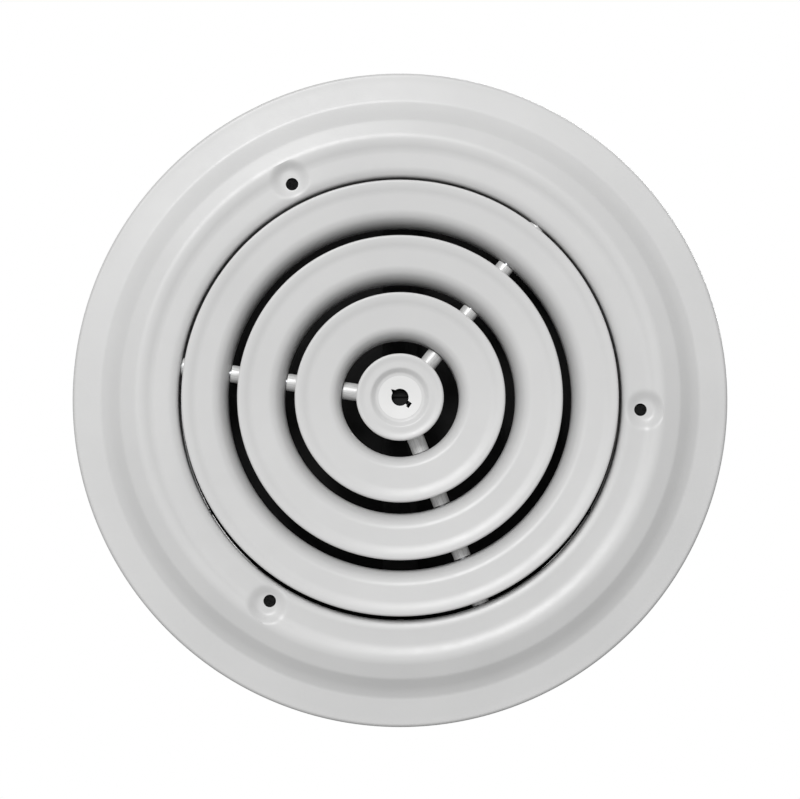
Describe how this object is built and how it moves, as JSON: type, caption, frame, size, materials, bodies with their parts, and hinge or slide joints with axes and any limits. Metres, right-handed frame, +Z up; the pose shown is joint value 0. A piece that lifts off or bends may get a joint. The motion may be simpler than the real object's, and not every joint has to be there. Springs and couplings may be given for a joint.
{
  "type": "round ceiling air diffuser",
  "caption": "Round steel ceiling diffuser with a stepped frame, concentric bell-mouth rings on spokes, a dished hub and a screw-set butterfly damper in its neck.",
  "frame": {"origin": "on the axis, in the plane where the back of the rim meets the ceiling", "axes": "+Z up along the axis into the duct, the face looks along -Z, +X to the right and +Y to the foot of a view from below; the damper hinge lies along Y"},
  "size_m": [0.298, 0.298, 0.063],
  "materials": {
    "white_paint": "satin light grey-white powder coat",
    "spacer_tube": "bright drawn tube",
    "black_paint": "matt black",
    "zinc_steel": "bright zinc plate",
    "black_foam": "soft black foam"
  },
  "bodies": {
    "diffuser": {"ceiling_frame": "white_paint", "neck_collar": "white_paint", "outer_ring": "white_paint", "middle_ring": "white_paint", "inner_ring": "white_paint", "hub_disc": "white_paint", "hub_core": "white_paint", "spacer_hub_a": "spacer_tube", "spacer_inner_a": "spacer_tube", "spacer_middle_a": "spacer_tube", "spacer_outer_a": "spacer_tube", "spacer_hub_b": "spacer_tube", "spacer_inner_b": "spacer_tube", "spacer_middle_b": "spacer_tube", "spacer_outer_b": "spacer_tube", "spacer_hub_c": "spacer_tube", "spacer_inner_c": "spacer_tube", "spacer_middle_c": "spacer_tube", "spacer_outer_c": "spacer_tube", "damper_seat": "black_paint", "damper_bridge": "black_paint", "spoke_rod_a": "zinc_steel", "spoke_rod_b": "zinc_steel", "spoke_rod_c": "zinc_steel", "seat_rivet_a": "zinc_steel", "seat_rivet_b": "zinc_steel", "seat_rivet_c": "zinc_steel", "bridge_rivet_front": "zinc_steel", "bridge_rivet_back": "zinc_steel", "hinge_rod": "zinc_steel", "rod_clip_front": "zinc_steel", "rod_clip_back": "zinc_steel", "bridge_nut": "zinc_steel", "neck_seal": "black_foam"},
    "left_leaf": {"damper_leaf_left": "black_paint"},
    "right_leaf": {"damper_leaf_right": "black_paint"},
    "saddle": {"lift_saddle": "zinc_steel"},
    "screw": {"adjusting_screw": "black_paint"}
  },
  "joints": [
    {"name": "left_leaf_hinge", "type": "hinge", "parent": "diffuser", "child": "left_leaf", "pos_m": [0, 0, 0.032], "axis": [0, 1, 0], "range_deg": [0, 80]},
    {"name": "right_leaf_hinge", "type": "hinge", "parent": "diffuser", "child": "right_leaf", "pos_m": [0, 0, 0.032], "axis": [0, -1, 0], "range_deg": [0, 80]},
    {"name": "saddle_lift", "type": "slide", "parent": "diffuser", "child": "saddle", "axis": [0, 0, 1], "range_m": [0, 0.0155]},
    {"name": "screw_turn", "type": "hinge", "parent": "saddle", "child": "screw", "pos_m": [0, 0, 0], "axis": [0, 0, 1], "range_deg": [0, 5580]}
  ],
  "couplings": [
    {"joint": "right_leaf_hinge", "follows": "left_leaf_hinge", "ratio": 1},
    {"joint": "saddle_lift", "follows": "left_leaf_hinge", "m_per_rad": 0.011049},
    {"joint": "screw_turn", "follows": "left_leaf_hinge", "ratio": 69.421}
  ]
}
